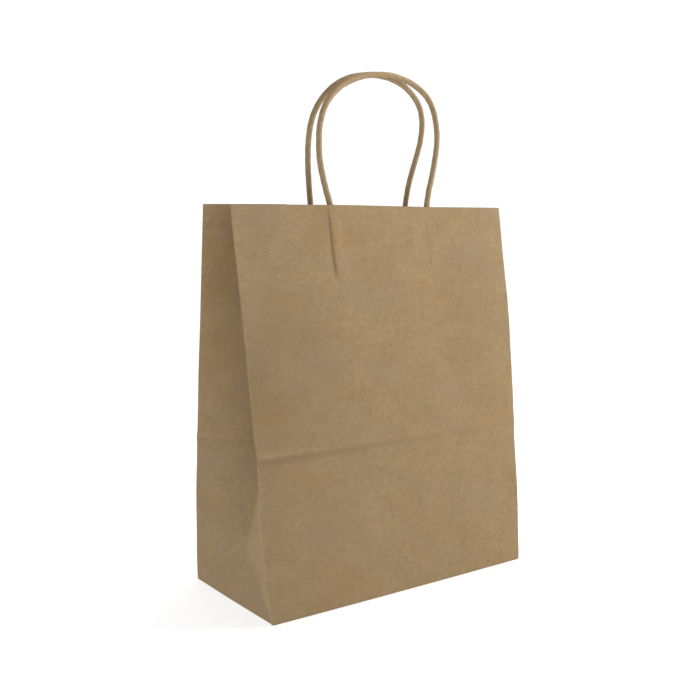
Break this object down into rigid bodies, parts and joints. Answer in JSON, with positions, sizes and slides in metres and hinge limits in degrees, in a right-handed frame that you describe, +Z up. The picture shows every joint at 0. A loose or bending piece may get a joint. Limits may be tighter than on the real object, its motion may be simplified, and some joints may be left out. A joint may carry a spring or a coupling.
{
  "type": "gift bag",
  "caption": "Open-topped kraft paper gift bag with gusseted sides, a flat folded base and two twisted-paper cord handles.",
  "frame": {"origin": "middle of the base, on the surface that the bag stands on", "axes": "+Z up through the open mouth, +X along the width, -Y out of the front panel"},
  "size_m": [0.2544, 0.127, 0.4069],
  "materials": {
    "kraft_paper": "uncoated brown kraft paper, matt, with fine specks and soft mottling",
    "kraft_strip": "uncoated brown kraft paper strip, glued",
    "twisted_cord": "tightly twisted brown kraft paper cord, matt"
  },
  "bodies": {
    "base_box": {"bottom_flap_front": "kraft_paper", "bottom_flap_back": "kraft_paper", "bottom_tuck_left": "kraft_paper", "bottom_tuck_right": "kraft_paper", "front_panel_lower": "kraft_paper", "back_panel_lower": "kraft_paper", "left_gusset_foot": "kraft_paper", "right_gusset_foot": "kraft_paper", "left_gusset_lower_front": "kraft_paper", "left_gusset_lower_back": "kraft_paper", "right_gusset_lower_front": "kraft_paper", "right_gusset_lower_back": "kraft_paper", "left_gusset_upper_front": "kraft_paper", "left_gusset_upper_back": "kraft_paper", "right_gusset_upper_front": "kraft_paper", "right_gusset_upper_back": "kraft_paper", "seam_tab_lower": "kraft_paper"},
    "front_wall": {"front_panel_upper": "kraft_paper", "front_handle_backing": "kraft_strip", "front_handle_cover": "kraft_strip", "front_cord_leg_left": "twisted_cord", "front_cord_leg_right": "twisted_cord"},
    "back_wall": {"back_panel_upper": "kraft_paper", "back_handle_backing": "kraft_strip", "back_handle_cover": "kraft_strip", "back_cord_leg_left": "twisted_cord", "back_cord_leg_right": "twisted_cord", "seam_tab_upper": "kraft_paper"},
    "front_cord_bends": {"front_cord_bend_left": "twisted_cord", "front_cord_bend_right": "twisted_cord"},
    "back_cord_bends": {"back_cord_bend_left": "twisted_cord", "back_cord_bend_right": "twisted_cord"},
    "front_handle": {"front_handle_loop": "twisted_cord"},
    "back_handle": {"back_handle_loop": "twisted_cord"}
  },
  "joints": [
    {"name": "front_wall_fold", "type": "hinge", "parent": "base_box", "child": "front_wall", "pos_m": [0, -0.04929, 0.1218], "axis": [-1, 0, 0], "range_deg": [-4, 4.5], "deforming": ["left_gusset_upper_front", "right_gusset_upper_front"]},
    {"name": "back_wall_fold", "type": "hinge", "parent": "base_box", "child": "back_wall", "pos_m": [0, 0.04929, 0.1218], "axis": [1, 0, 0], "range_deg": [-4, 4.5], "deforming": ["left_gusset_upper_back", "right_gusset_upper_back"]},
    {"name": "front_handle_lean", "type": "hinge", "parent": "front_wall", "child": "front_cord_bends", "pos_m": [0, -0.01847, 0.30951], "axis": [-1, 0, 0], "range_deg": [-13.5, 12], "deforming": ["front_cord_bend_left", "front_cord_bend_right"]},
    {"name": "back_handle_lean", "type": "hinge", "parent": "back_wall", "child": "back_cord_bends", "pos_m": [0, 0.01847, 0.30951], "axis": [1, 0, 0], "range_deg": [-13.5, 12], "deforming": ["back_cord_bend_left", "back_cord_bend_right"]},
    {"name": "front_handle_swing", "type": "hinge", "parent": "front_cord_bends", "child": "front_handle", "pos_m": [0, -0.01847, 0.30951], "axis": [1, 0, 0], "range_deg": [0, 120]},
    {"name": "back_handle_swing", "type": "hinge", "parent": "back_cord_bends", "child": "back_handle", "pos_m": [0, 0.01847, 0.30951], "axis": [-1, 0, 0], "range_deg": [0, 120]}
  ],
  "couplings": [
    {"joint": "back_wall_fold", "follows": "front_wall_fold", "ratio": 1},
    {"joint": "front_handle_lean", "follows": "front_wall_fold", "ratio": -2.98},
    {"joint": "back_handle_lean", "follows": "front_wall_fold", "ratio": -2.98}
  ]
}
